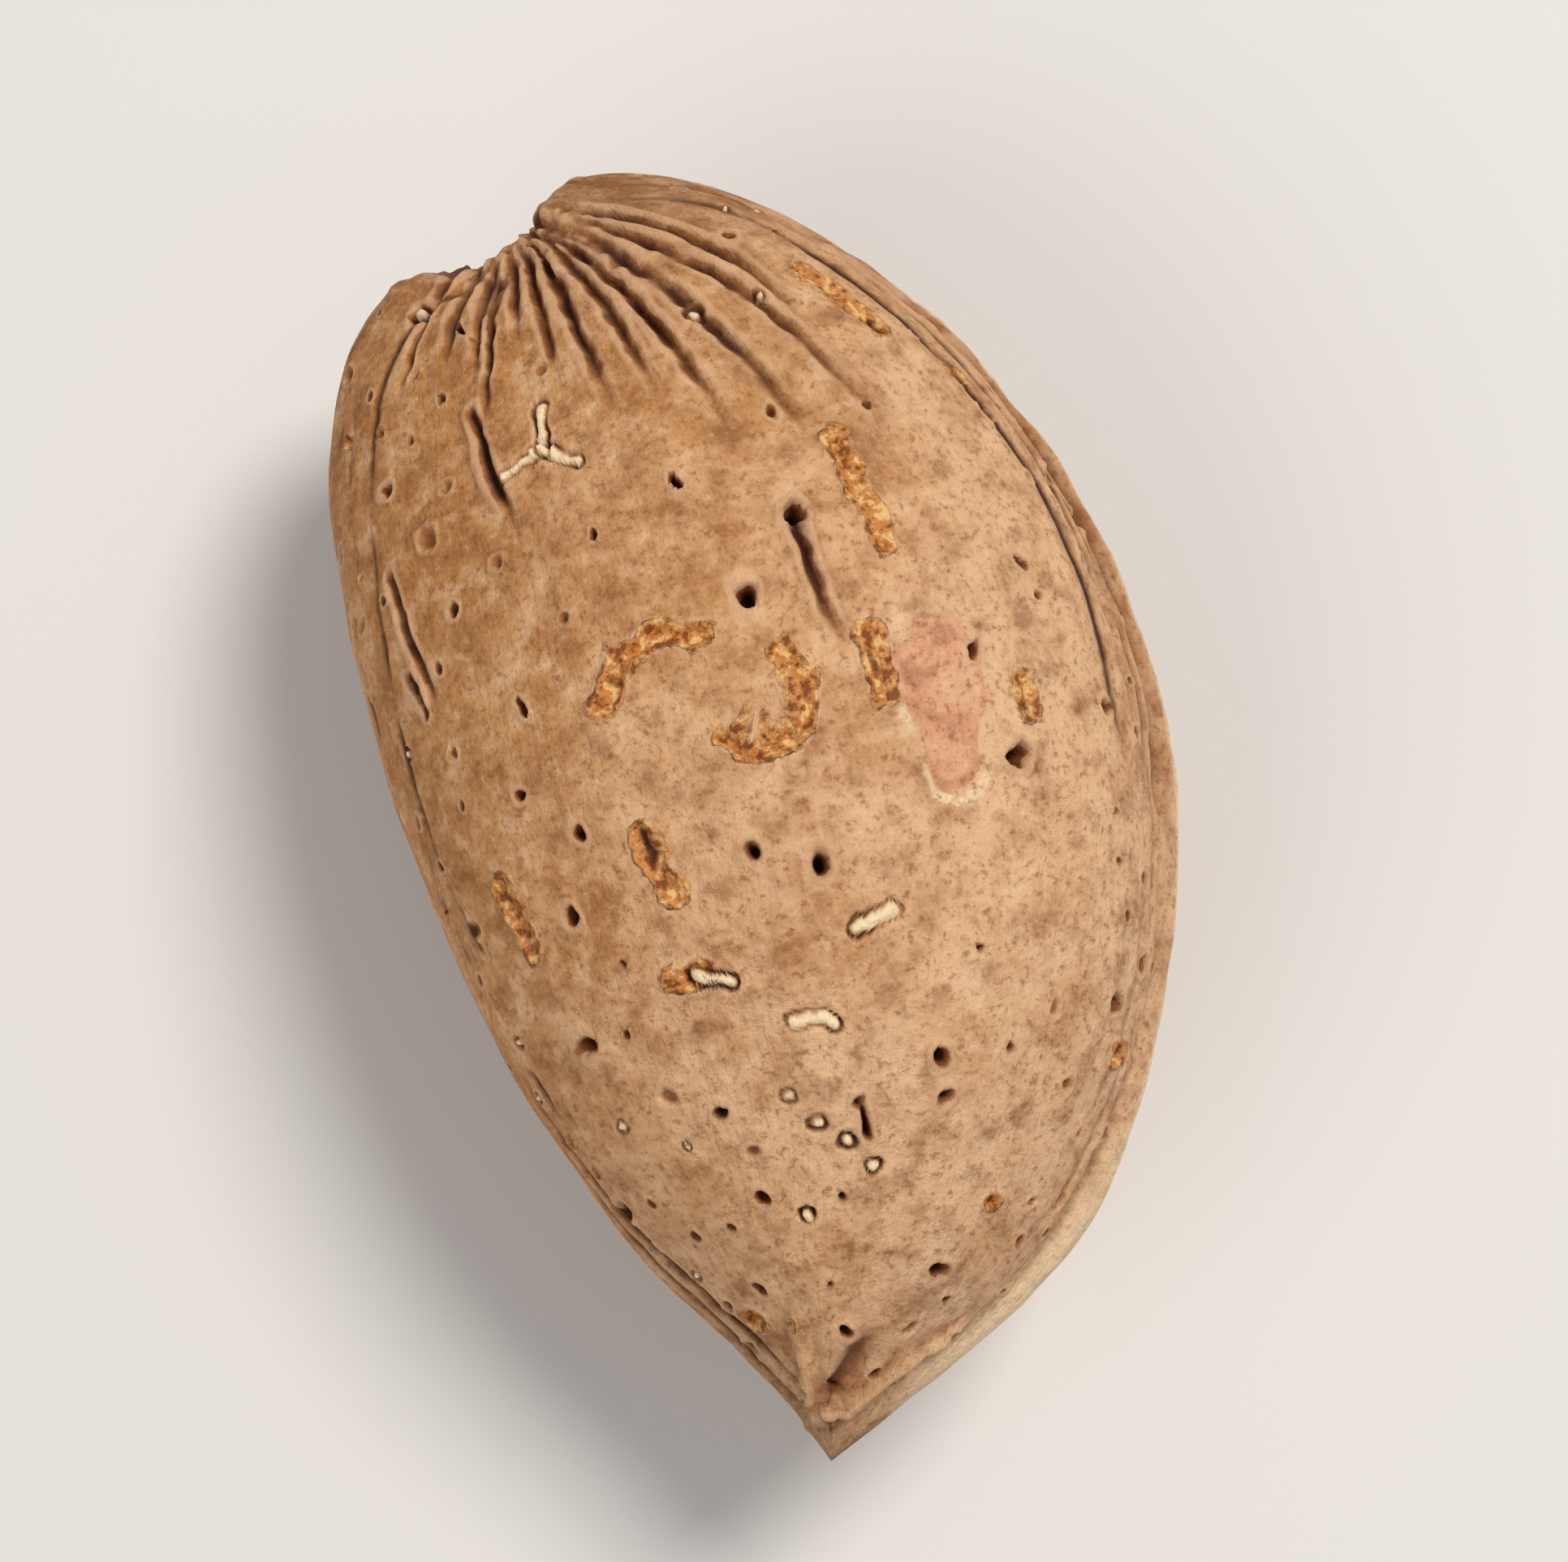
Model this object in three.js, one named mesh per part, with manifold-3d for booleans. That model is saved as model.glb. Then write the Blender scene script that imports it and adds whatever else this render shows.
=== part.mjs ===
// An almond in its shell, lying on one flank. Millimetres, +Z up.
//
// The nut is one closed solid. Its long axis runs along Y: the pointed tip is at -Y and the
// stem end, with its notch and scar, at +Y. The keel, the shell's sharper and more curved
// edge, faces +X and the blunter back edge faces -X. The shell's two halves meet in the
// level plane through both edges. The origin is the centre of the box's bottom face.

import * as THREE from 'three';
import Module from 'manifold-3d';
import { mergeVertices } from 'three/addons/utils/BufferGeometryUtils.js';

// Driving dimensions.
const LENGTH = 35.0;
const WIDTH = 20.6;
const THICKNESS = 15.8;
const REST_SPOT_DEPTH = 0.18;

const TIP_Y = -LENGTH / 2;
const STEM_Y = LENGTH / 2;
const KEEL_X = WIDTH / 2;
const BACK_X = -WIDTH / 2;

// The tip and the stem scar both sit a little towards the back edge of the nut.
const TIP = new THREE.Vector2(-3.1, TIP_Y);
const BEAK_TOP = new THREE.Vector2(-5.5, TIP_Y + 4.6);
const KEEL_FOOT = new THREE.Vector2(2.2, TIP_Y + 2.6);
const KEEL_BELLY = new THREE.Vector2(KEEL_X, 0.6);
const HOOD_TOP = new THREE.Vector2(-1.2, STEM_Y);
const NOTCH = new THREE.Vector2(-3.3, STEM_Y - 1.35);
const BACK_SHOULDER = new THREE.Vector2(-5.8, STEM_Y - 1.6);
const BACK_BELLY = new THREE.Vector2(BACK_X, 5.0);

// Pulls of the outline's curved stretches, in order round the edge from the tip.
const PULL_TIP_TO_FOOT = new THREE.Vector2(-0.4, TIP_Y + 1.1);
const PULL_FOOT_OUT = new THREE.Vector2(7.2, TIP_Y + 5.2);
const PULL_KEEL_BELLY_IN = new THREE.Vector2(KEEL_X, -5.6);
const PULL_KEEL_BELLY_OUT = new THREE.Vector2(KEEL_X, 9.2);
const PULL_HOOD_IN = new THREE.Vector2(3.4, STEM_Y);
const PULL_HOOD_TO_NOTCH = new THREE.Vector2(-2.8, STEM_Y);
const PULL_NOTCH_TO_SHOULDER = new THREE.Vector2(-4.3, BACK_SHOULDER.y);
const PULL_SHOULDER_OUT = new THREE.Vector2(-9.0, BACK_SHOULDER.y);
const PULL_BACK_BELLY_IN = new THREE.Vector2(BACK_X, 11.6);
const PULL_BACK_BELLY_OUT = new THREE.Vector2(BACK_X, -2.5);
const PULL_BEAK_IN = new THREE.Vector2(-8.1, TIP_Y + 8.5);
const PULL_BEAK_TO_TIP = new THREE.Vector2(-3.9, TIP_Y + 2.1);

// The flanks are highest over this point, which is close above the centre of mass.
const CREST = new THREE.Vector2(-0.2, 1.0);

// Away from the edge the flanks' level lines ease into a plain oval round the crest, so the
// notch and the tip mark only the rim. These are the oval's reaches from the crest.
const OVAL_TO_KEEL = 10.5;
const OVAL_TO_BACK = 10.1;
const OVAL_TO_STEM = 16.4;
const OVAL_TO_TIP = 18.3;
const EDGE_INFLUENCE_POWER = 5;

// How each flank falls from its crest to the edge: 0.5 is a round, full section, and a
// larger number is leaner, more like the side of a lens.
const FULLNESS_BACK = 0.5;
const FULLNESS_KEEL = 0.62;
const FULLNESS_STEM = 0.56;
const FULLNESS_TIP = 0.74;

// The keel is a narrow lip that stands out from the flanks all along the +X edge.
const KEEL_LIP_HEIGHT = 0.45;
const KEEL_LIP_HALF_WIDTH = 0.5;

// The stem scar is a shallow dish in the blunt end, between the shoulder and the hood.
const SCAR_DEPTH = 0.9;
const SCAR_RADIUS = 2.6;

// Mesh resolution.
const STEPS_ROUND_EDGE = 88;
const STEPS_OVER_FLANKS = 44;

/** Plan of the nut: the closed line where the two halves of the shell meet. */
function edgeOutline() {
  const outline = new THREE.CurvePath();
  outline.add(new THREE.QuadraticBezierCurve(TIP, PULL_TIP_TO_FOOT, KEEL_FOOT));
  outline.add(new THREE.CubicBezierCurve(KEEL_FOOT, PULL_FOOT_OUT, PULL_KEEL_BELLY_IN, KEEL_BELLY));
  outline.add(new THREE.CubicBezierCurve(KEEL_BELLY, PULL_KEEL_BELLY_OUT, PULL_HOOD_IN, HOOD_TOP));
  outline.add(new THREE.QuadraticBezierCurve(HOOD_TOP, PULL_HOOD_TO_NOTCH, NOTCH));
  outline.add(new THREE.QuadraticBezierCurve(NOTCH, PULL_NOTCH_TO_SHOULDER, BACK_SHOULDER));
  outline.add(new THREE.CubicBezierCurve(BACK_SHOULDER, PULL_SHOULDER_OUT, PULL_BACK_BELLY_IN, BACK_BELLY));
  outline.add(new THREE.CubicBezierCurve(BACK_BELLY, PULL_BACK_BELLY_OUT, PULL_BEAK_IN, BEAK_TOP));
  outline.add(new THREE.QuadraticBezierCurve(BEAK_TOP, PULL_BEAK_TO_TIP, TIP));
  return outline;
}

/** Reach of the plain oval from the crest in the direction `heading`. */
function ovalReach(heading) {
  const across = heading.x > 0 ? OVAL_TO_KEEL : OVAL_TO_BACK;
  const along = heading.y > 0 ? OVAL_TO_STEM : OVAL_TO_TIP;
  return 1 / Math.hypot(heading.x / across, heading.y / along);
}

/** Fullness of the flank in the direction `heading` from the crest, a unit vector. */
function fullnessToward(heading) {
  const keelShare = (1 + heading.x) / 2;
  const side = THREE.MathUtils.lerp(FULLNESS_BACK, FULLNESS_KEEL, keelShare);
  const end = heading.y > 0 ? FULLNESS_STEM : FULLNESS_TIP;
  return THREE.MathUtils.lerp(side, end, heading.y * heading.y);
}

/** How far the flanks lie inside the keel's crest line, at height `z` above the edge. */
function keelSetback(heading, z) {
  const onKeelSide = THREE.MathUtils.smoothstep(heading.x, -0.25, 0.35);
  const awayFromLip = THREE.MathUtils.smoothstep(Math.abs(z), 0, KEEL_LIP_HALF_WIDTH * 2);
  return KEEL_LIP_HEIGHT * onKeelSide * awayFromLip;
}

/** Depth of the stem scar's dish at a point of the surface. */
function scarDish(point) {
  const fromNotch = Math.hypot(point.x - NOTCH.x, point.y - NOTCH.y, point.z);
  return SCAR_DEPTH * (1 - THREE.MathUtils.smoothstep(fromNotch, 0, SCAR_RADIUS));
}

/** The whole closed surface, still with both flanks round. */
function nutSurface() {
  const outline = edgeOutline();
  const surface = new THREE.SphereGeometry(1, STEPS_ROUND_EDGE, STEPS_OVER_FLANKS);
  const place = surface.attributes.position;
  const sphereUv = surface.attributes.uv;
  const point = new THREE.Vector3();
  for (let i = 0; i < place.count; i += 1) {
    const turn = THREE.MathUtils.euclideanModulo(sphereUv.getX(i), 1);
    const edge = outline.getPointAt(turn);
    const edgeReach = edge.distanceTo(CREST);
    const heading = edge.clone().sub(CREST).normalize();
    const polar = Math.PI * (1 - sphereUv.getY(i));
    const outward = Math.sin(polar);
    const rise = Math.abs(Math.cos(polar)) ** (2 * fullnessToward(heading));
    const z = Math.sign(Math.cos(polar)) * rise * THICKNESS / 2;
    const edgeInfluence = outward ** EDGE_INFLUENCE_POWER;
    const fullReach = THREE.MathUtils.lerp(ovalReach(heading), edgeReach, edgeInfluence);
    const reach = outward * (fullReach - keelSetback(heading, z));
    point.set(CREST.x + heading.x * reach, CREST.y + heading.y * reach, z);
    point.y -= scarDish(point);
    place.setXYZ(i, point.x, point.y, point.z);
  }
  return surface;
}

/** A closed mesh as a solid that can be cut. */
function toSolid(wasm, geometry) {
  const bare = geometry.clone();
  bare.deleteAttribute('normal');
  bare.deleteAttribute('uv');
  const merged = mergeVertices(bare);
  const vertProperties = new Float32Array(merged.attributes.position.array);
  const triVerts = new Uint32Array(merged.index.array);
  return new wasm.Manifold(new wasm.Mesh({ numProp: 3, vertProperties, triVerts }));
}

/** A solid back as a geometry with its normals. */
function toGeometry(solid) {
  const mesh = solid.getMesh();
  const geometry = new THREE.BufferGeometry();
  geometry.setAttribute('position', new THREE.BufferAttribute(mesh.vertProperties, mesh.numProp));
  geometry.setIndex(new THREE.BufferAttribute(mesh.triVerts, 1));
  geometry.computeVertexNormals();
  return geometry;
}

/** The nut with the small flat it rests on cut across the lower flank. */
function nutWithRestSpot(wasm) {
  const floorLevel = REST_SPOT_DEPTH - THICKNESS / 2;
  const below = new THREE.BoxGeometry(LENGTH, LENGTH, THICKNESS);
  below.translate(0, 0, floorLevel - THICKNESS / 2);
  const cut = toSolid(wasm, nutSurface()).subtract(toSolid(wasm, below));
  return toGeometry(cut);
}

/** Moves the nut so that the origin is the centre of the box's bottom face. */
function standOnOrigin(geometry) {
  geometry.computeBoundingBox();
  const centre = geometry.boundingBox.getCenter(new THREE.Vector3());
  geometry.translate(-centre.x, -centre.y, -geometry.boundingBox.min.z);
}

const wasm = await Module();
wasm.setup();

const geometry = nutWithRestSpot(wasm);
standOnOrigin(geometry);

const shell = new THREE.MeshStandardMaterial({ color: 0xc39a6b, roughness: 0.78, metalness: 0 });
const almond = new THREE.Mesh(geometry, shell);
almond.name = 'almond';

const nut = new THREE.Group();
nut.add(almond);

export default nut;
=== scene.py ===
# An almond in its shell, lying on one flank: a single woody nut with a pointed tip, a keel down
# one edge, a notched stem end, and pits and slits all over. The nut is worked out in millimetres
# from the middle of its seam plane, and turned into metres where its mesh is made.

import math

import bpy
import numpy as np
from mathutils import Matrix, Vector


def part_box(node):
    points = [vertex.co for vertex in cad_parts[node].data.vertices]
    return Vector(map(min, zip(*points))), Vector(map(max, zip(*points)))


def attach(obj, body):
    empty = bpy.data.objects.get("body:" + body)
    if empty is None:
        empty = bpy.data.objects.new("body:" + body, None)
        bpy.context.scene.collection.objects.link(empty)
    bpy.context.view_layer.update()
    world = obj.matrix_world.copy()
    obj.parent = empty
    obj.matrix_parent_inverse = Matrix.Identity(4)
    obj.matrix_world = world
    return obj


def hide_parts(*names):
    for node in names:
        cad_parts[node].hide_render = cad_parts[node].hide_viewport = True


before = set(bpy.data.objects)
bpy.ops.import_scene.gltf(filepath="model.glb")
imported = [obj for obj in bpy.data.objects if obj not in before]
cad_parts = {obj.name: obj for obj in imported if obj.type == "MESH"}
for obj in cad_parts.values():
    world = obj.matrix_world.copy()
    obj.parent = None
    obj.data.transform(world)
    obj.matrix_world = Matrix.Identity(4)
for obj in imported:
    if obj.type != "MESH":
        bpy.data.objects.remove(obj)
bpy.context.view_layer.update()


# ---- The body of the nut ----------------------------------------------------------------
# Two flanks of one woody shell, meeting in a level seam that runs round both edges. The plan
# is blunt at the stem and drawn out to a beak at the tip, and fuller on the keel side (+X).

MM = 0.001
low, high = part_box("almond")
half_length = (high.y - low.y) / 2 / MM
half_width = (high.x - low.x) / 2 / MM
half_thickness = 7.9
seam_level = high.z / MM - half_thickness

tip = (-3.1, -half_length)
beak_top = (-5.5, 4.6 - half_length)
keel_foot = (2.2, 2.6 - half_length)
keel_belly = (half_width, 0.6)
hood_top = (-1.2, half_length)
notch = (-3.3, half_length - 1.35)
back_shoulder = (-5.8, half_length - 1.6)
back_belly = (-half_width, 5.0)
crest = (-0.2, 1.0)

oval_to_keel, oval_to_back = 10.5, 10.1
oval_to_stem, oval_to_tip = 16.4, 18.3
edge_influence_power = 5
fullness_back, fullness_keel = 0.5, 0.62
fullness_stem, fullness_tip = 0.56, 0.74
keel_lip_height, keel_lip_half_width = 0.45, 0.5
scar_depth, scar_radius = 0.9, 2.6
grid_steps = 520


def ease(value, start, end):
    """0 before start, 1 after end, and smooth between them."""
    share = np.clip((value - start) / (end - start), 0, 1)
    return share * share * (3 - 2 * share)


def swept(*pulls, steps=80):
    """Points of the smooth curve from the first to the last of two, three or four points."""
    rows = [np.array(p, float) for p in pulls]
    share = np.linspace(0, 1, steps, endpoint=False)[:, None]
    while len(rows) > 1:
        rows = [a + (b - a) * share for a, b in zip(rows, rows[1:])]
    return rows[0]


rim = np.vstack([
    swept(tip, (-0.4, 1.1 - half_length), keel_foot),
    swept(keel_foot, (7.2, 5.2 - half_length), (keel_belly[0], -5.6), keel_belly),
    swept(keel_belly, (keel_belly[0], 9.2), (3.4, hood_top[1]), hood_top),
    swept(hood_top, (-2.8, hood_top[1]), notch),
    swept(notch, (-4.3, back_shoulder[1]), back_shoulder),
    swept(back_shoulder, (-9.0, back_shoulder[1]), (back_belly[0], 11.6), back_belly),
    swept(back_belly, (back_belly[0], -2.5), (-8.1, 8.5 - half_length), beak_top),
    swept(beak_top, (-3.9, 2.1 - half_length), tip),
    [tip],
])
rim_run = np.concatenate([[0], np.cumsum(np.linalg.norm(np.diff(rim, axis=0), axis=1))])
rim_share = rim_run / rim_run[-1]


def round_grid(steps):
    """A square grid of cells drawn into a disc: each point's share of a turn and of the radius."""
    ticks = np.linspace(-1, 1, steps)
    a, b = np.meshgrid(ticks, ticks, indexing="ij")
    wide = np.abs(a) > np.abs(b)
    turn = np.where(wide, b / a / 8, 0.25 - a / b / 8)
    radius = np.where(wide, a, b)
    turn = np.where(radius < 0, turn + 0.5, turn)
    return turn % 1, np.abs(radius)


def lie_of_shell(turn, radius, side):
    """Points of the smooth shell, with the direction and the distance of each from its edge."""
    edge = np.stack([np.interp(turn, rim_share, rim[:, i]) - crest[i] for i in (0, 1)], -1)
    edge_reach = np.linalg.norm(edge, axis=-1)
    heading = edge / edge_reach[..., None]
    hx, hy = heading[..., 0], heading[..., 1]
    across = np.where(hx > 0, oval_to_keel, oval_to_back)
    along = np.where(hy > 0, oval_to_stem, oval_to_tip)
    oval_reach = 1 / np.hypot(hx / across, hy / along)
    side_fullness = fullness_back + (fullness_keel - fullness_back) * (1 + hx) / 2
    end_fullness = np.where(hy > 0, fullness_stem, fullness_tip)
    fullness = side_fullness + (end_fullness - side_fullness) * hy * hy
    polar = radius * math.pi / 2
    outward = np.sin(polar)
    z = side * half_thickness * np.clip(np.cos(polar), 0, 1) ** (2 * fullness)
    keel_side = ease(hx, -0.25, 0.35)
    setback = keel_lip_height * keel_side * ease(np.abs(z), 0, 2 * keel_lip_half_width)
    full_reach = oval_reach + (edge_reach - oval_reach) * outward ** edge_influence_power
    reach = outward * (full_reach - setback)
    x = crest[0] + hx * reach
    y = crest[1] + hy * reach
    from_notch = np.sqrt((x - notch[0]) ** 2 + (y - notch[1]) ** 2 + z ** 2)
    y = y - scar_depth * (1 - ease(from_notch, 0, scar_radius))
    from_seam = np.hypot(edge_reach - reach, z)
    return np.stack([x, y, z], -1), heading, from_seam, keel_side


turn, radius = round_grid(grid_steps)
upper = lie_of_shell(turn, radius, 1)
lower = lie_of_shell(turn, radius, -1)
whole = np.arange(grid_steps * grid_steps).reshape(grid_steps, grid_steps)
inner = np.s_[1:-1, 1:-1]
lower_index = whole.copy()
lower_index[inner] = whole.size + np.arange((grid_steps - 2) ** 2).reshape(grid_steps - 2, -1)


def both_flanks(upper_values, lower_values):
    """One row of values for the nut's points: all the upper flank's, then the lower's own."""
    shape = (-1,) + upper_values.shape[2:]
    return np.concatenate([upper_values.reshape(shape), lower_values[inner].reshape(shape)])


def outward_normals(points, side):
    slope_a, slope_b = np.gradient(points, axis=(0, 1))
    normal = side * np.cross(slope_a, slope_b)
    return normal / np.maximum(np.linalg.norm(normal, axis=-1, keepdims=True), 1e-9)


upper_normal = outward_normals(upper[0], 1)
lower_normal = outward_normals(lower[0], -1)
rim_points = np.ones((grid_steps, grid_steps), bool)
rim_points[inner] = False
level = upper_normal[rim_points] * (1, 1, 0) + lower_normal[rim_points] * (1, 1, 0)
upper_normal[rim_points] = level / np.maximum(np.linalg.norm(level, axis=-1, keepdims=True), 1e-9)

shell = both_flanks(upper[0], lower[0])
normal = both_flanks(upper_normal, lower_normal)
heading = both_flanks(upper[1], lower[1])
from_seam = both_flanks(upper[2], lower[2])
keel_side = both_flanks(upper[3], lower[3])
flank = np.concatenate([np.ones(whole.size), -np.ones(shell.shape[0] - whole.size)])
relief = np.zeros(len(shell))
hollow = np.zeros(len(shell))
rust = np.zeros(len(shell))
pale = np.zeros(len(shell))
stain = np.zeros(len(shell))


# ---- Lumps and grain of the wood ----------------------------------------------------------
# The shell swelled unevenly as it grew and its fibres run from stem to tip, so the surface
# has soft lumps and faint long ripples that draw together at both ends.

LATTICE = 4096
chance = np.random.default_rng(20)
lattice_values = chance.uniform(-1, 1, LATTICE)


def unevenness(place, cell):
    """Smooth chance values from -1 to 1 that change over about one cell."""
    cells = place / cell
    corner = np.floor(cells).astype(np.int64)
    share = cells - corner
    share = share * share * (3 - 2 * share)
    total = np.zeros(len(place))
    for step in np.ndindex(2, 2, 2):
        x, y, z = (corner + step).T
        key = (x * 73856093 ^ y * 19349663 ^ z * 83492791) % LATTICE
        weight = np.prod(np.where(np.array(step) == 1, share, 1 - share), axis=1)
        total += weight * lattice_values[key]
    return total


def unevenness_in_space(place, cell):
    """Three chance values for each place, to push a line off its course."""
    return np.stack([unevenness(place + shift, cell) for shift in (110, 220, 330)], -1)


midline = tip[0] * (shell[:, 1] / half_length) ** 2
round_axis = np.arctan2(shell[:, 2] / half_thickness, (shell[:, 0] - midline) / half_width)
GRAIN_RADIUS = 9.0
grain = np.stack([
    GRAIN_RADIUS * np.cos(round_axis),
    shell[:, 1],
    GRAIN_RADIUS * np.sin(round_axis),
], -1)
along_grain = np.array([1, 0.18, 1])

relief += 0.16 * unevenness(shell + 40, 5.5)
relief += 0.06 * unevenness(shell + 80, 2.1)
relief += 0.022 * unevenness(shell + 20, 0.8)
relief += 0.025 * unevenness(grain * along_grain + 10, 0.9)


# ---- Keel -----------------------------------------------------------------------------------
# The keel is the edge where the husk split and let go: a thin lip on the seam, and on each
# flank beside it a few ragged grooves that hold brown scraps of husk.

keel_grooves = (
    # distance from the seam, half width, depth
    (0.95, 0.28, 0.50),
    (1.75, 0.16, 0.34),
    (2.55, 0.16, 0.18),
    (3.6, 0.18, 0.08),
)


def along_nut(number):
    """Places for chance values that change only along the nut, and differ by flank."""
    zeros = np.zeros(len(shell))
    return np.stack([zeros + 31.7 * number, shell[:, 1], 57.3 * (flank + 2) + zeros], -1)


def cut_groove(offset, half_width, depth, presence):
    """A groove that keeps a wavering distance from the seam, deep where presence is 1."""
    waver = offset + 0.28 * unevenness(along_nut(offset), 3.1) + 0.07 * unevenness(shell, 0.5)
    profile = np.exp(-((from_seam - waver) / half_width) ** 2)
    relief[:] -= depth * presence * profile
    # Painted shade: the groove floor is marked to be darkened in the finish.
    hollow[:] = np.maximum(hollow, np.minimum(1.3 * presence, 1) * profile)
    stain[:] = np.maximum(stain, 0.6 * presence * np.exp(-((from_seam - waver) / (2.4 * half_width)) ** 2))
    lips = np.exp(-((np.abs(from_seam - waver) - 2 * half_width) / half_width) ** 2)
    relief[:] += 0.22 * depth * presence * lips


y = shell[:, 1]
keel_strength = keel_side * (0.25 + 0.75 * ease(y, -6, 7)) * (1 - 0.4 * ease(y, 13, 17))
for offset, width, depth in keel_grooves:
    breaks = ease(unevenness(along_nut(offset + 7), 2.3), -0.55, 0.15)
    cut_groove(offset, width, depth, keel_strength * (0.25 + 0.75 * breaks))

keel_scraps = keel_strength * (1 - ease(from_seam, 1.2, 3.4))
relief += 0.10 * keel_scraps * unevenness(grain * (1, 0.45, 1) + 5, 0.42)
stain = np.maximum(stain, 0.85 * keel_scraps * ease(from_seam, 0.15, 0.6))
# Painted highlight: a pale line along the keel lip on the seam.
pale = np.maximum(pale, 0.5 * keel_side * (1 - ease(from_seam, 0.12, 0.4)))
# A raised lip up the tip edge, painted pale as a highlight.
tip_lip = ease(heading[:, 0], -0.16, 0.05) * (1 - ease(y, -14, -9)) * (1 - ease(from_seam, 0.5, 1.2))
pale = np.maximum(pale, 0.6 * tip_lip)
relief += 0.12 * tip_lip


# ---- Back edge ------------------------------------------------------------------------------
# The blunt edge opposite the keel keeps a hairline seam between rows of short dashed furrows,
# which gather into fine parallel lines towards the tip.

back_side = 1 - ease(heading[:, 0], -0.45, -0.1)
back_rows = ((0.0, 0.10, 0.14), (0.75, 0.13, 0.15), (1.5, 0.13, 0.16), (2.35, 0.13, 0.12), (3.2, 0.12, 0.08))
for offset, width, depth in back_rows:
    dashes = 0.6 * ease(unevenness(along_nut(offset + 21), 1.3), 0.0, 0.6)
    whole_lines = (1 - ease(y, -12, -4)) * (1 - ease(offset, 1.4, 2.6))
    cut_groove(offset, width, depth, back_side * np.maximum(dashes, 1.4 * whole_lines))


# ---- Furrows from the stem ------------------------------------------------------------------
# Bundles of sap vessels ran out from the stalk and left furrows that fan from the notch over
# the flanks and down beside the keel, deep at the notch and fading away.

PLAN_SEARCH = 0.6
FURROW_WAVER = 0.07


def surface_point(x, y, side):
    """The point of a flank over or under a place in plan."""
    close = (np.abs(shell[:, 0] - x) < PLAN_SEARCH) & (np.abs(shell[:, 1] - y) < PLAN_SEARCH)
    nearby = np.flatnonzero((flank == side) & close)
    if len(nearby) == 0:
        nearby = np.flatnonzero(flank == side)
    gap = (shell[nearby, 0] - x) ** 2 + (shell[nearby, 1] - y) ** 2
    return shell[nearby[np.argmin(gap)]]


def line_over_nut(start, heading, length, bend=0, steps=5):
    """Points in plan of a line that sets off at a heading in degrees, 0 towards the tip and 90
    towards the keel, and turns by bend on its way. Without a length it is a single spot."""
    points = [np.array(start, float)]
    for step in range(steps if length else 0):
        turned = math.radians(heading + bend * (step + 0.5) / steps)
        points.append(points[-1] + length / steps * np.array([math.sin(turned), -math.cos(turned)]))
    return points


def distance_to_stroke(points, side, reach, waver):
    """Points of the shell within reach of a line over it: who they are, how far, how far on."""
    spots = np.array([surface_point(x, y, side) for x, y in points])
    near = np.all((shell > spots.min(0) - reach) & (shell < spots.max(0) + reach), axis=1)
    who = np.flatnonzero(near)
    here = shell[who] + waver * unevenness_in_space(shell[who], 0.7)
    here += 0.4 * waver * unevenness_in_space(shell[who], 0.25)
    best = np.full(len(who), np.inf)
    onward = np.zeros(len(who))
    ends = list(zip(spots, spots[1:])) or [(spots[0], spots[0])]
    for i, (a, b) in enumerate(ends):
        run = b - a
        share = np.clip((here - a) @ run / max(run @ run, 1e-6), 0, 1)
        gap = np.linalg.norm(here - a - share[:, None] * run, axis=1)
        closer = gap < best
        best[closer] = gap[closer]
        onward[closer] = ((i + share) / len(ends))[closer]
    return who, best, onward


def press_furrow(points, half_width, depth, side=1, dark=1.0):
    """A groove that fades along its second half, or with a negative depth a ridge."""
    who, gap, onward = distance_to_stroke(points, side, 4 * half_width + 0.3, FURROW_WAVER)
    gap = gap + 0.05 * unevenness(shell[who] + 3, 0.4)
    taper = (1 - ease(onward, 0.5, 1)) * (0.75 + 0.25 * unevenness(shell[who] + 9, 0.9))
    profile = np.exp(-(gap / half_width) ** 2)
    relief[who] -= depth * taper * profile
    relief[who] += 0.25 * depth * taper * np.exp(-((gap - 2.1 * half_width) / half_width) ** 2)
    # Painted shade: the furrow floor is marked to be darkened in the finish.
    hollow[who] = np.maximum(hollow[who], dark * taper * profile)
    stain[who] = np.maximum(stain[who], dark * taper * np.exp(-(gap / (2.6 * half_width)) ** 2))


def on_flank(across, down):
    """A place in plan: across in half widths towards the keel, down from 0 at the stem end to
    1 at the tip."""
    return np.array([across * half_width, (1 - 2 * down) * half_length])


# The fan turns towards the tip as it runs, and is longest beside the keel.
FAN_FURROWS = 13
FAN_REACH = 75
FAN_TURN = 0.7
for number in range(FAN_FURROWS):
    turn_share = (number + chance.uniform(0.2, 0.8)) / FAN_FURROWS
    heading = FAN_REACH * (2 * turn_share - 1)
    length = chance.uniform(3.5, 6.5) * (1 + 1.6 * max(heading, 0) / FAN_REACH)
    begins = line_over_nut(notch, heading, chance.uniform(0.5, 1.2))[-1]
    points = line_over_nut(begins, heading, length, -FAN_TURN * heading)
    press_furrow(points, chance.uniform(0.11, 0.18), chance.uniform(0.26, 0.44))

# Two lone furrows by the back edge, and a soft one in the middle of the flank.
for across, down in ((-0.55, 0.2), (-0.85, 0.3), (0.15, 0.35)):
    press_furrow(line_over_nut(on_flank(across, down), 0, 4, 12), 0.13, 0.38)

# The hood over the notch keeps the brown of the husk.
hood_gap = np.linalg.norm((shell - (1.6, 15.4, 3.0)) * (0.8, 1.2, 0.6), axis=1)
hood_brown = 1 - ease(hood_gap + 0.8 * unevenness(shell + 61, 1.6), 1.5, 4.2)
stain = np.maximum(stain, 0.6 * hood_brown)

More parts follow.
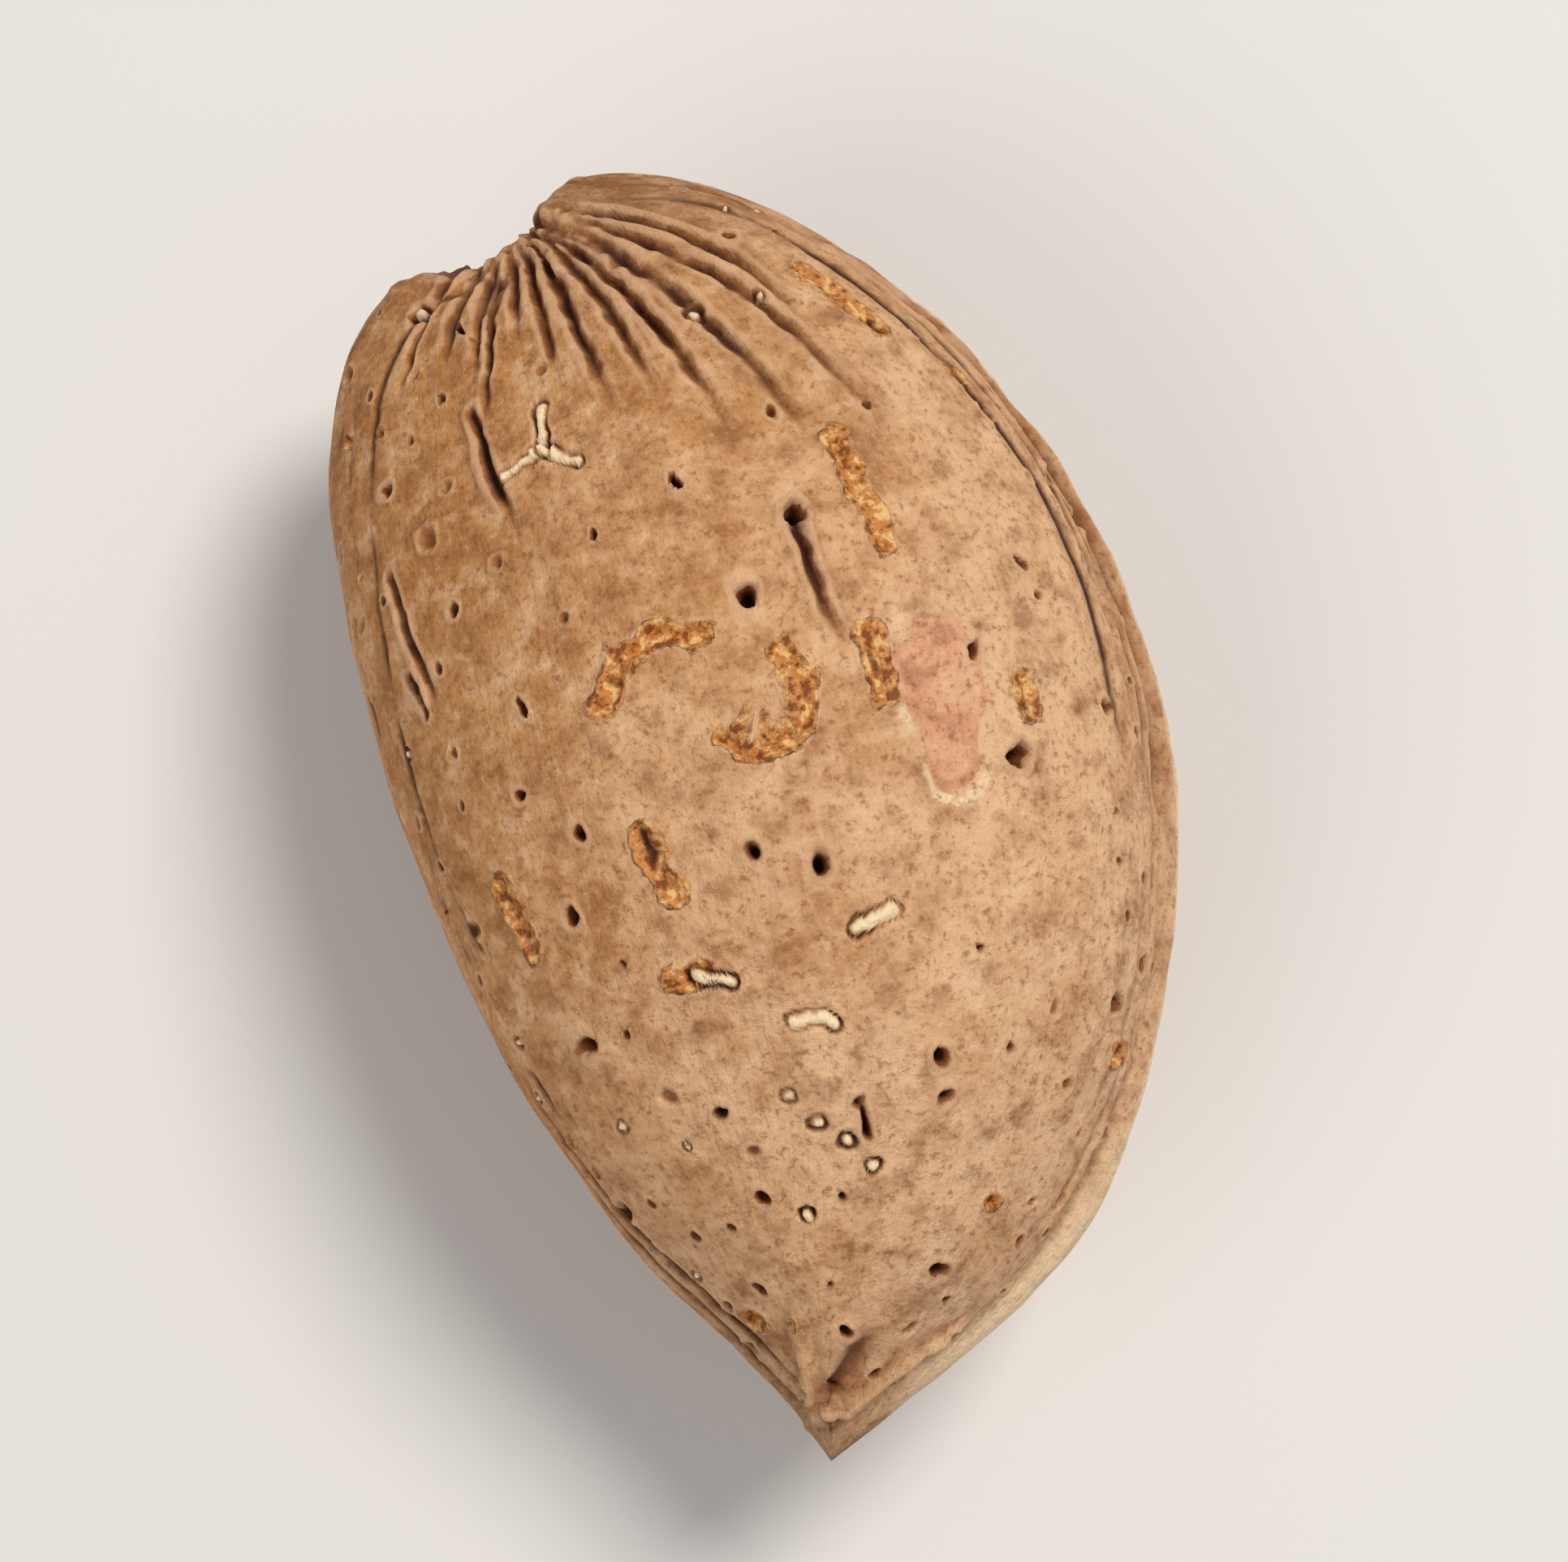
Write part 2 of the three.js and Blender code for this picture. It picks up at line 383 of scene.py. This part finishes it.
# Two ridges run together at the tip, with a groove beside each.
press_furrow(line_over_nut((-3.2, 1.1 - half_length), 180, 3), 0.20, -0.34, dark=0)
press_furrow(line_over_nut((-2.8, 1.1 - half_length), 110, 5), 0.22, -0.34, dark=0)
press_furrow(line_over_nut((-2.6, 1.7 - half_length), 130, 2), 0.30, 0.42, dark=0.7)
press_furrow(line_over_nut((-3.9, 1.2 - half_length), 205, 3.3), 0.18, 0.24, dark=0.7)

# Chance furrows: short wrinkles round the notch above, and long ones below.
FURROW_COUNT = 26
FAN_HALF_ANGLE = 58
for number in range(FURROW_COUNT):
    wrinkle = number % 2 == 0
    turn_share = (number + chance.uniform(0.2, 0.8)) / FURROW_COUNT
    heading = FAN_HALF_ANGLE * (2 * turn_share - 1)
    length = chance.uniform(2.0, 4.0) if wrinkle else chance.uniform(4.0, 9.5)
    points = line_over_nut(notch, heading, length, chance.uniform(-20, 20))[1:]
    width, depth = chance.uniform(0.10, 0.20), chance.uniform(0.16, 0.38)
    press_furrow(points, 0.8 * width if wrinkle else width, depth, 1 if wrinkle else -1, dark=0.5)


# ---- Stem scar ------------------------------------------------------------------------------
# The dish in the blunt end where the stalk let go: torn, dark brown fibre with a ragged rim.

from_notch = np.linalg.norm(shell - (notch[0] - 0.9, notch[1] + 0.2, 0), axis=1)
ragged = from_notch + 0.45 * unevenness(shell + 70, 0.9) + 0.2 * unevenness(shell + 90, 0.35)
scar = 1 - ease(ragged, 1.9, 2.9)
torn = np.abs(unevenness(shell * (1, 0.5, 0.6) + 33, 0.55))
relief += scar * (0.34 * torn - 0.28)
relief += 0.10 * scar * unevenness(shell + 15, 0.22)
relief += 0.12 * np.exp(-((ragged - 2.9) / 0.35) ** 2)


# ---- Pits, slits and channels ---------------------------------------------------------------
# Holes where vessels passed through the shell. Most are dark, with painted shade on their floors,
# some still hold cream or rusty fibre, and a few run along under the skin as open channels. They
# crowd together near the tip.

mark_places = []


def press_pit(points, half_width, depth, side=1, core="dark"):
    """A pit, or a slit or channel if it has more than one point, with what is left in it."""
    mark_places.extend(surface_point(x, y, side) for x, y in points)
    calm = 0.75 if core == "cream" else 1
    who, gap, _ = distance_to_stroke(points, side, 3.2 * half_width + 0.3, 0.13 * calm)
    gap = gap / half_width
    gap = gap * (1 + 0.3 * calm * unevenness(shell[who] + 7, 0.4))
    gap = gap + 0.16 * calm * unevenness(shell[who], 0.16)
    floor = 1 - ease(gap, 0.4, 1.1)
    inside = 1 - ease(gap, 0.35, 1.0)
    around = 1 - ease(gap, 0.9, 2.1)
    relief[who] += 0.05 * np.exp(-((gap - 1.45) / 0.35) ** 2)
    if core == "dark":
        relief[who] -= depth * floor
        # Painted shade on the pit floor.
        hollow[who] = np.maximum(hollow[who], inside)
        stain[who] = np.maximum(stain[who], 0.85 * around)
    if core == "rust":
        strands = unevenness(shell[who] * (1, 0.6, 1) + 13, 0.3)
        relief[who] -= 0.6 * depth * floor * (0.7 + 0.6 * strands)
        rust[who] = np.maximum(rust[who], around)
        # Painted shade between the rusty strands.
        hollow[who] = np.maximum(hollow[who], 0.8 * inside * ease(strands, 0.25, 0.7))
    if core == "cream":
        fibre = 1 - ease(gap, 0.45, 0.8)
        moat = np.exp(-((gap - 1.05) / 0.34) ** 2)
        moat = moat * (0.35 + 0.65 * ease(unevenness(shell[who] + 19, 0.7), -0.5, 0.3))
        relief[who] += 0.05 * fibre - 0.6 * depth * moat
        pale[who] = np.maximum(pale[who], fibre)
        # Painted shade in the moat round the cream fibre.
        hollow[who] = np.maximum(hollow[who], 0.78 * moat)
    if core == "plain":
        relief[who] -= depth * floor
        stain[who] = np.maximum(stain[who], 0.5 * inside)


# The few largest holes of the upper flank.
for across, down in ((0, 0.4), (0.15, 0.35), (0, 0.6), (0.55, 0.55)):
    press_pit([on_flank(across, down)], 0.3, 0.85)

# Rusty fibre: an arch, an open ring beside it, and scraps round them and by the keel.
press_pit(line_over_nut(on_flank(-0.4, 0.45), 160, 3.2, -100), 0.26, 0.40, core="rust")
press_pit(line_over_nut(on_flank(-0.15, 0.5), 40, 4.4, 190, steps=9), 0.20, 0.36, core="rust")
rusty_scraps = (
    # across, down, heading, length
    (-0.4, 0.55, 20, 1.6),
    (-0.4, 0.65, 90, 0.8),
    (-0.75, 0.55, 15, 1.6),
    (0.3, 0.3, 10, 3),
    (0.25, 0.45, 0, 1.5),
    (0.6, 0.5, 0, 0.6),
    (0.35, 0.15, 35, 2.5),
)
for across, down, heading, length in rusty_scraps:
    press_pit(line_over_nut(on_flank(across, down), heading, length), 0.26, 0.26, core="rust")

# Cream fibre: a mark with three arms near the stem, three sticks and a chain of beads.
CREAM_DEPTH = 0.34
ARMS = 3
for arm in range(ARMS):
    points = line_over_nut(on_flank(-0.4, 0.25), 50 + 360 * arm / ARMS, 1.1)
    press_pit(points, 0.18, CREAM_DEPTH, core="cream")
for across, down, heading in ((-0.35, 0.65, 60), (0.05, 0.65, 110), (-0.15, 0.7, 75)):
    press_pit(line_over_nut(on_flank(across, down), heading, 1), 0.20, CREAM_DEPTH, core="cream")
BEADS = 4
for bead in line_over_nut(on_flank(-0.2, 0.75), 40, 2.6, steps=BEADS - 1):
    press_pit([bead], 0.20, CREAM_DEPTH, core="cream")

# Chance pits: all over the lower flank and both steep sides, and small ones above, where they
# crowd towards the tip.
PIT_SPACING = 1.25
PIT_TRIES = 1800
STEEP_BELOW = 3.6
for attempt in range(PIT_TRIES):
    spot = chance.integers(len(shell))
    point = shell[spot]
    steep = abs(point[2]) < STEEP_BELOW
    on_top = flank[spot] > 0 and not steep
    tipward = float(ease(-point[1], 4, 15))
    quiet = chance.uniform() < 0.35 * float(ease(point[1], 2, 12))
    sparse = on_top and chance.uniform() > 0.25 + 0.75 * float(ease(-point[1], 4, 12))
    if sparse or quiet or from_notch[spot] < 3.4 or from_seam[spot] < 0.9:
        continue
    gaps = np.linalg.norm(np.array(mark_places) - point, axis=1)
    if gaps.min() < PIT_SPACING * (1.0 - 0.35 * tipward):
        continue
    width = float(chance.choice([0.14, 0.18, 0.22, 0.27, 0.34], p=[0.25, 0.3, 0.25, 0.14, 0.06]))
    kind = chance.uniform()
    core = "dark" if kind < 0.66 else "rust" if kind < 0.78 else "cream" if kind < 0.88 else "plain"
    long_one = chance.uniform() < 0.38 and not steep
    slant = 20 * (point[0] - notch[0]) / half_width + chance.normal(0, 14)
    length = chance.uniform(0.5, 2.4)
    if on_top:
        core = "dark" if kind < 0.75 else "plain" if kind < 0.92 else "cream"
        long_one = long_one and kind < 0.35
        length = 0.5 * length
        width = 0.85 * width
    if steep:
        width = 0.8 * width
    if long_one:
        width = 0.75 * width
    depth = 0.14 if core == "plain" else 0.35 + width
    points = line_over_nut(point[:2], slant, length if long_one else 0)
    press_pit(points, width, depth, flank[spot], core)


# ---- Rubbed patch ---------------------------------------------------------------------------
# A pinkish bare patch on the upper flank where the outer skin has flaked off, with a pale
# torn rim, as nuts get when they rub together in the sack.

PATCH_HALF_WIDTH = 1.2
PATCH_HALF_LENGTH = 2.3
PATCH_LEAN = math.radians(10)
lean_cos, lean_sin = math.cos(PATCH_LEAN), math.sin(PATCH_LEAN)
patch_turn = np.array([[lean_cos, lean_sin], [-lean_sin, lean_cos]])
patch_run = (shell[:, :2] - on_flank(0.4, 0.5)) @ patch_turn
patch_gap = np.hypot(patch_run[:, 0] / PATCH_HALF_WIDTH, patch_run[:, 1] / PATCH_HALF_LENGTH)
patch_gap = patch_gap + 0.34 * unevenness(shell + 50, 1.5) + 0.16 * unevenness(shell + 51, 0.5)
patch = np.where(flank > 0, 1 - ease(patch_gap, 0.92, 1.0), 0) * (shell[:, 2] > 2)
patch_rim = np.where(flank > 0, np.exp(-((patch_gap - 1.18) / 0.20) ** 2), 0) * (shell[:, 2] > 2)
patch_rim = patch_rim * ease(unevenness(shell + 52, 1.3), -0.6, 0.0)
relief -= 0.07 * patch
relief += 0.03 * patch_rim


# ---- The nut's mesh -------------------------------------------------------------------------
# One closed skin: every furrow and pit is pressed into it, then cells are merged where the
# shell is plain so that the detail keeps the fine ones.

lifted = shell + relief[:, None] * normal
floor_level = -seam_level
lifted[:, 2] = np.maximum(lifted[:, 2], floor_level)
lifted[:, 0] = np.clip(lifted[:, 0], -half_width, half_width)
lifted[:, 1] = np.clip(lifted[:, 1], -half_length, half_length)
lifted[:, 2] = np.minimum(lifted[:, 2], half_thickness)


def spread(values, cells):
    """Values of one flank averaged with their neighbours, a few cells each way."""
    for axis in (0, 1):
        padded = np.pad(values, [(cells, cells) if a == axis else (0, 0) for a in (0, 1)], mode="edge")
        sums = np.cumsum(padded, axis=axis)
        span = 2 * cells
        values = (np.take(sums, range(span, sums.shape[axis]), axis=axis)
                  - np.take(sums, range(0, sums.shape[axis] - span), axis=axis)) / span
        values = values if values.shape[axis] == grid_steps else np.take(values, range(grid_steps), axis=axis)
    return values


# How far the relief stands above or below its neighbours, used for painted shade in the dips and a painted highlight on
# the rises.
def raised(values):
    return values - spread(values, 5)


upper_relief = relief[:whole.size].reshape(grid_steps, grid_steps)
lower_relief = relief[lower_index]
ridge = both_flanks(raised(upper_relief), raised(lower_relief))

quads_up = np.stack([whole[:-1, :-1], whole[1:, :-1], whole[1:, 1:], whole[:-1, 1:]], -1)
quads_down = np.stack([
    lower_index[:-1, :-1], lower_index[:-1, 1:], lower_index[1:, 1:], lower_index[1:, :-1],
], -1)
quads = np.concatenate([quads_up.reshape(-1, 4), quads_down.reshape(-1, 4)])

nut_mesh = bpy.data.meshes.new("almond_shell")
nut_mesh.vertices.add(len(lifted))
metres = (lifted + (0, 0, seam_level)) * MM
nut_mesh.vertices.foreach_set("co", metres.astype(np.float32).ravel())
nut_mesh.loops.add(quads.size)
nut_mesh.loops.foreach_set("vertex_index", quads.astype(np.int32).ravel())
nut_mesh.polygons.add(len(quads))
nut_mesh.polygons.foreach_set("loop_start", np.arange(0, quads.size, 4, dtype=np.int32))
nut_mesh.update(calc_edges=True)
nut_mesh.polygons.foreach_set("use_smooth", np.ones(len(quads), bool))

for name, values in {
    "hollow": hollow, "rust": rust, "pale": pale, "stain": stain, "scar": scar,
    "ridge": ridge, "patch": patch, "patch_rim": patch_rim,
}.items():
    layer = nut_mesh.attributes.new(name, "FLOAT", "POINT")
    layer.data.foreach_set("value", values.astype(np.float32))
layer = nut_mesh.attributes.new("grain", "FLOAT_VECTOR", "POINT")
layer.data.foreach_set("vector", grain.astype(np.float32).ravel())

# Each flank is spread flat into its own half of the square, edge to edge.
ticks = np.linspace(0.004, 0.996, grid_steps)
flat_a, flat_b = np.meshgrid(ticks, ticks, indexing="ij")
spot_a, spot_b = flat_a.ravel(), flat_b.ravel()
corner_count = len(quads_up.reshape(-1, 4)) * 4
up_corners = quads_up.reshape(-1)
down_grid = np.stack([
    whole[:-1, :-1], whole[:-1, 1:], whole[1:, 1:], whole[1:, :-1],
], -1).reshape(-1)
flat = np.zeros((quads.size, 2))
flat[:corner_count] = np.stack([spot_a[up_corners] * 0.496 + 0.002, spot_b[up_corners]], -1)
flat[corner_count:] = np.stack([spot_a[down_grid] * 0.496 + 0.502, spot_b[down_grid]], -1)
flat_map = nut_mesh.uv_layers.new(name="OFBake")
flat_map.data.foreach_set("uv", flat.astype(np.float32).ravel())

almond = bpy.data.objects.new("almond_nut", nut_mesh)
bpy.context.scene.collection.objects.link(almond)
FACE_BUDGET = 190000
merge = almond.modifiers.new("merge_plain_cells", "DECIMATE")
merge.ratio = FACE_BUDGET / (2 * len(quads))
merged = bpy.data.meshes.new_from_object(almond.evaluated_get(bpy.context.evaluated_depsgraph_get()))
almond.modifiers.clear()
almond.data = merged
merged.polygons.foreach_set("use_smooth", np.ones(len(merged.polygons), bool))

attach(almond, "root")
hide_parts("almond")


# ---- Finish of the shell --------------------------------------------------------------------
# Dry, matt wood: tan with paler and more ochre clouds, fine fibres from stem to tip, freckles,
# rusty and cream fibre in the channels, and brown scraps by the keel. Painted light as well:
# lighter towards the keel side and darker towards the stem, painted shade making the pit, groove
# and furrow floors near-black, painted shade in dips and a painted highlight on rises and lips.


def from_screen(red, green, blue):
    """A colour given as 0 to 255 on a screen, as the shader's linear colour."""
    return tuple((c / 255 / 12.92) if c < 11 else ((c / 255 + 0.055) / 1.055) ** 2.4 for c in (red, green, blue)) + (1,)


tan_wood = from_screen(203, 147, 90)
pale_wood = from_screen(231, 187, 145)
ochre_wood = from_screen(180, 120, 62)
fibre_brown = from_screen(136, 78, 36)
pit_shade_brown = from_screen(58, 22, 8)
rusty_fibre = from_screen(206, 132, 62)
dark_rust = from_screen(122, 58, 18)
gold_fibre = from_screen(242, 196, 128)
cream_fibre = from_screen(255, 232, 192)
scar_brown = from_screen(98, 62, 42)
bare_pink = from_screen(224, 160, 124)

finish = bpy.data.materials.new("dry_almond_shell")
finish.use_nodes = True
nodes = finish.node_tree.nodes
links = finish.node_tree.links
wood = nodes["Principled BSDF"]
wood.inputs["Specular IOR Level"].default_value = 0.32


def node(kind, **settings):
    made = nodes.new(kind)
    for name, value in settings.items():
        setattr(made, name, value)
    return made


def mark(name):
    """A strength stored on the nut's mesh."""
    return node("ShaderNodeAttribute", attribute_name=name).outputs["Fac"]


def clouds(where, per_metre, detail=3.0, rough=0.55, offset=(0, 0, 0), stretch=(1, 1, 1)):
    """Soft chance values from 0 to 1."""
    placed = node("ShaderNodeMapping")
    placed.inputs["Location"].default_value = offset
    placed.inputs["Scale"].default_value = stretch
    links.new(where, placed.inputs["Vector"])
    noise = node("ShaderNodeTexNoise")
    noise.inputs["Scale"].default_value = per_metre
    noise.inputs["Detail"].default_value = detail
    noise.inputs["Roughness"].default_value = rough
    links.new(placed.outputs["Vector"], noise.inputs["Vector"])
    return noise.outputs["Fac"]


def band(value, start, end, low_value=0.0, high_value=1.0):
    """Maps start..end to low..high, held at both ends."""
    ranged = node("ShaderNodeMapRange", clamp=True)
    for socket, number in (("From Min", start), ("From Max", end), ("To Min", low_value), ("To Max", high_value)):
        ranged.inputs[socket].default_value = number
    links.new(value, ranged.inputs["Value"])
    return ranged.outputs["Result"]


def calc(operation, first, second):
    """Arithmetic on two values, each a socket or a number."""
    made = node("ShaderNodeMath", operation=operation)
    for socket, value in zip(made.inputs, (first, second)):
        if isinstance(value, (int, float)):
            socket.default_value = value
        else:
            links.new(value, socket)
    return made.outputs["Value"]


def tint(under, over, amount):
    """Lays one colour over another, each a socket or a colour."""
    made = node("ShaderNodeMix", data_type="RGBA")
    factor, bottom, top = made.inputs[0], made.inputs[6], made.inputs[7]
    for socket, value in ((factor, amount), (bottom, under), (top, over)):
        if isinstance(value, (int, float, tuple)):
            socket.default_value = value
        else:
            links.new(value, socket)
    return made.outputs[2]


body_place = node("ShaderNodeTexCoord").outputs["Object"]
grain_place = node("ShaderNodeAttribute", attribute_name="grain").outputs["Vector"]

big_clouds = clouds(body_place, 150, detail=4)
small_clouds = clouds(body_place, 420, detail=5, offset=(3, 1, 7))
blotches = clouds(body_place, 1100, detail=4, offset=(6, 2, 9), rough=0.6)
fray = clouds(body_place, 2600, detail=4, offset=(4, 4, 1), rough=0.65)
strands = clouds(body_place, 3600, detail=2, offset=(9, 8, 1))
fibres = clouds(grain_place, 1.3, detail=6, rough=0.65, stretch=(1, 0.12, 1))
fine_fibres = clouds(grain_place, 5, detail=5, rough=0.7, stretch=(1, 0.14, 1), offset=(2, 5, 1))
freckles = clouds(body_place, 4300, detail=4, rough=0.7, offset=(1, 2, 3))

side_ways = node("ShaderNodeSeparateXYZ")
links.new(body_place, side_ways.inputs["Vector"])
keelward = band(side_ways.outputs["X"], -0.009, 0.008)
stemward = band(side_ways.outputs["Y"], -0.008, 0.017)


def frayed(name, start, end):
    """A stored strength cut off along a ragged line."""
    return band(calc("ADD", mark(name), calc("MULTIPLY", calc("SUBTRACT", fray, 0.5), 1.3)), start, end)


# Painted light: the shell is made lighter towards the keel side and darker towards the stem end, as if lit from the
# keel side. The same amount takes ochre off the lit side and adds it on the shaded side, over the ochre clouds.
painted_side_light = calc("ADD", calc("MULTIPLY", keelward, 0.5), calc("MULTIPLY", stemward, -0.35))
colour = tint(tan_wood, pale_wood, band(calc("ADD", painted_side_light, big_clouds), 0.35, 0.9))
ochre_and_side_shade = calc("ADD", calc("MULTIPLY", painted_side_light, -0.3), small_clouds)
colour = tint(colour, ochre_wood, band(ochre_and_side_shade, 0.38, 0.7, 0, 0.8))
colour = tint(colour, bare_pink, calc("MULTIPLY", frayed("patch", 0.35, 0.65), 0.8))
colour = tint(colour, cream_fibre, calc("MULTIPLY", frayed("patch_rim", 0.65, 0.9), band(small_clouds, 0.4, 0.55, 0.15, 0.75)))
colour = tint(colour, fibre_brown, band(blotches, 0.5, 0.7, 0, 0.62))
colour = tint(colour, pale_wood, band(blotches, 0.48, 0.3, 0, 0.85))
colour = tint(colour, fibre_brown, band(fibres, 0.54, 0.78, 0, 0.3))
colour = tint(colour, fibre_brown, band(fine_fibres, 0.56, 0.8, 0, 0.22))
colour = tint(colour, fibre_brown, band(freckles, 0.53, 0.66, 0, 0.62))
colour = tint(colour, cream_fibre, band(freckles, 0.45, 0.3, 0, 0.22))
colour = tint(colour, fibre_brown, calc("MULTIPLY", mark("stain"), band(blotches, 0.35, 0.55, 0.55, 1)))
# Painted shade browns the dips of the relief, and a painted highlight pales its rises.
colour = tint(colour, fibre_brown, band(mark("ridge"), -0.015, -0.08, 0, 0.6))
colour = tint(colour, pale_wood, band(mark("ridge"), 0.012, 0.06, 0, 0.55))
colour = tint(colour, scar_brown, calc("MULTIPLY", mark("scar"), band(small_clouds, 0.35, 0.6, 0.6, 1)))
rusted = frayed("rust", 0.3, 0.7)
colour = tint(colour, rusty_fibre, calc("MULTIPLY", rusted, 0.8))
colour = tint(colour, dark_rust, calc("MULTIPLY", rusted, band(strands, 0.53, 0.62, 0, 0.85)))
colour = tint(colour, gold_fibre, calc("MULTIPLY", rusted, band(strands, 0.46, 0.38, 0, 0.9)))
# Painted shade: pit, groove and furrow floors are darkened to a near-black brown.
painted_pit_shade = band(calc("ADD", mark("hollow"), calc("MULTIPLY", calc("SUBTRACT", fray, 0.5), 0.4)), 0.15, 0.8, 0, 0.95)
colour = tint(colour, pit_shade_brown, painted_pit_shade)
# Cream fibre in the pits, and the painted highlight along the keel and tip lips.
colour = tint(colour, cream_fibre, calc("MULTIPLY", band(mark("pale"), 0.1, 0.9), band(freckles, 0.35, 0.6, 1, 0.8)))
links.new(colour, wood.inputs["Base Color"])

roughness = calc("ADD", band(fibres, 0.3, 0.7, 0.66, 0.82), calc("MULTIPLY", mark("hollow"), 0.14))
links.new(roughness, wood.inputs["Roughness"])


def raise_surface(height, millimetres, under=None):
    made = node("ShaderNodeBump")
    made.inputs["Distance"].default_value = millimetres * MM
    made.inputs["Strength"].default_value = 1.0
    links.new(height, made.inputs["Height"])
    if under is not None:
        links.new(under, made.inputs["Normal"])
    return made.outputs["Normal"]


surface = raise_surface(fibres, 0.10)
surface = raise_surface(fine_fibres, 0.05, surface)
surface = raise_surface(blotches, 0.17, surface)
surface = raise_surface(freckles, 0.07, surface)
surface = raise_surface(calc("MULTIPLY", rusted, strands), 0.16, surface)
links.new(surface, wood.inputs["Normal"])
almond.data.materials.clear()
almond.data.materials.append(finish)


# ---- Floor and light ------------------------------------------------------------------------
# A plain pale floor with a large soft lamp over the keel side, a weaker one opposite and an
# even pale surround.

floor_mesh = bpy.data.meshes.new("floor")
FLOOR_HALF = 1.5
floor_mesh.from_pydata(
    [(-FLOOR_HALF, -FLOOR_HALF, 0), (FLOOR_HALF, -FLOOR_HALF, 0), (FLOOR_HALF, FLOOR_HALF, 0), (-FLOOR_HALF, FLOOR_HALF, 0)],
    [], [(0, 1, 2, 3)],
)
floor = bpy.data.objects.new("floor", floor_mesh)
bpy.context.scene.collection.objects.link(floor)
floor_paint = bpy.data.materials.new("pale_floor")
floor_paint.use_nodes = True
floor_paint.node_tree.nodes["Principled BSDF"].inputs["Base Color"].default_value = (0.78, 0.77, 0.75, 1)
floor_paint.node_tree.nodes["Principled BSDF"].inputs["Roughness"].default_value = 0.9
floor_mesh.materials.append(floor_paint)

nut_middle = Vector(((low.x + high.x) / 2, (low.y + high.y) / 2, (low.z + high.z) / 2))


def soft_lamp(name, direction, distance, size, watts, warmth):
    lamp = bpy.data.lights.new(name, "AREA")
    lamp.shape = "DISK"
    lamp.size = size
    lamp.energy = watts
    lamp.color = warmth
    holder = bpy.data.objects.new(name, lamp)
    bpy.context.scene.collection.objects.link(holder)
    holder.location = nut_middle + Vector(direction).normalized() * distance
    holder.rotation_euler = (nut_middle - holder.location).to_track_quat("-Z", "Y").to_euler()
    return holder


soft_lamp("main_lamp", (0.55, 0.3, 1.0), 0.4, 0.16, 1.2, (1.0, 0.95, 0.88))
soft_lamp("fill_lamp", (-0.9, -0.5, 0.8), 0.5, 0.4, 0.75, (1.0, 0.96, 0.92))

surround = bpy.data.worlds.new("surround")
surround.use_nodes = True
surround.node_tree.nodes["Background"].inputs["Color"].default_value = (0.95, 0.96, 1.0, 1)
surround.node_tree.nodes["Background"].inputs["Strength"].default_value = 0.3
bpy.context.scene.world = surround
bpy.context.scene.view_settings.view_transform = "Standard"


# ---- Camera ---------------------------------------------------------------------------------
# Nearly overhead, turned so that the tip points down and a little to the right.

AZIMUTH, ELEVATION = math.radians(-14), math.radians(80)
LENS, SENSOR = 90, 36
VIEW_HEIGHT = 0.0415
lens = bpy.data.cameras.new("camera")
lens.lens = LENS
lens.sensor_width = SENSOR
lens.clip_start = 0.005
eye = bpy.data.objects.new("camera", lens)
bpy.context.scene.collection.objects.link(eye)
back = Vector((
    math.sin(AZIMUTH) * math.cos(ELEVATION),
    -math.cos(AZIMUTH) * math.cos(ELEVATION),
    math.sin(ELEVATION),
))
eye.location = nut_middle + back * VIEW_HEIGHT * LENS / SENSOR
eye.rotation_euler = (-back).to_track_quat("-Z", "Y").to_euler()
bpy.context.scene.camera = eye
